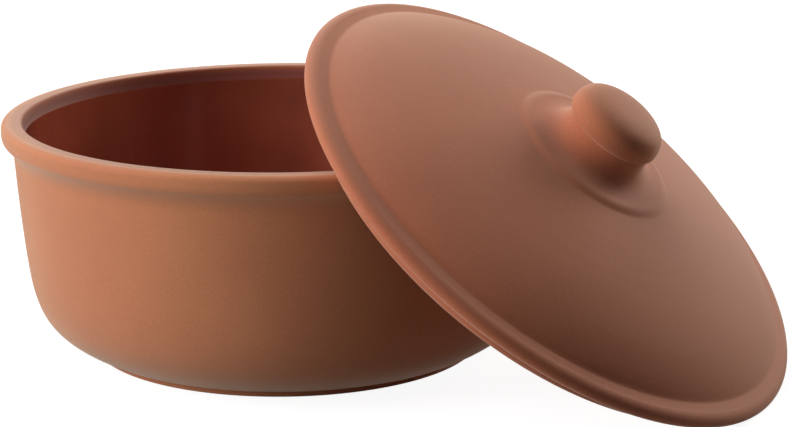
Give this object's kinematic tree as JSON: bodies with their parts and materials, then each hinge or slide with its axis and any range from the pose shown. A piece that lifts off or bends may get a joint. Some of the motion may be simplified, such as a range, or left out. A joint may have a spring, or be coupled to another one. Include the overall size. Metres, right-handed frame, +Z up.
{
  "type": "clay bread baker",
  "caption": "Round clay bread baker: an open pot with a rolled rim, glazed inside, and a domed lid with a boss and a knob leaning on its rim.",
  "frame": {"origin": "centre of the pot's foot, on the table", "axes": "+Z up along the pot's axis; +X from the pot's axis towards the leaning lid's lower edge, the longest way across the part; +Y completes the right-handed set"},
  "size_m": [0.3821, 0.27, 0.1668],
  "materials": {
    "clay": "bare, matt",
    "glaze": "clear gloss over dark red-brown",
    "clay_lid": "bare, matt",
    "clay_knob": "bare, matt"
  },
  "bodies": {
    "pot": {"pot_body": "clay", "pot_glaze": "glaze"},
    "lid": {"lid_shell": "clay_lid", "lid_knob": "clay_knob"}
  },
  "joints": [
    {"name": "lid_lift", "type": "slide", "parent": "pot", "child": "lid", "axis": [0, 0, 1], "range_m": [0, 0.15]}
  ]
}
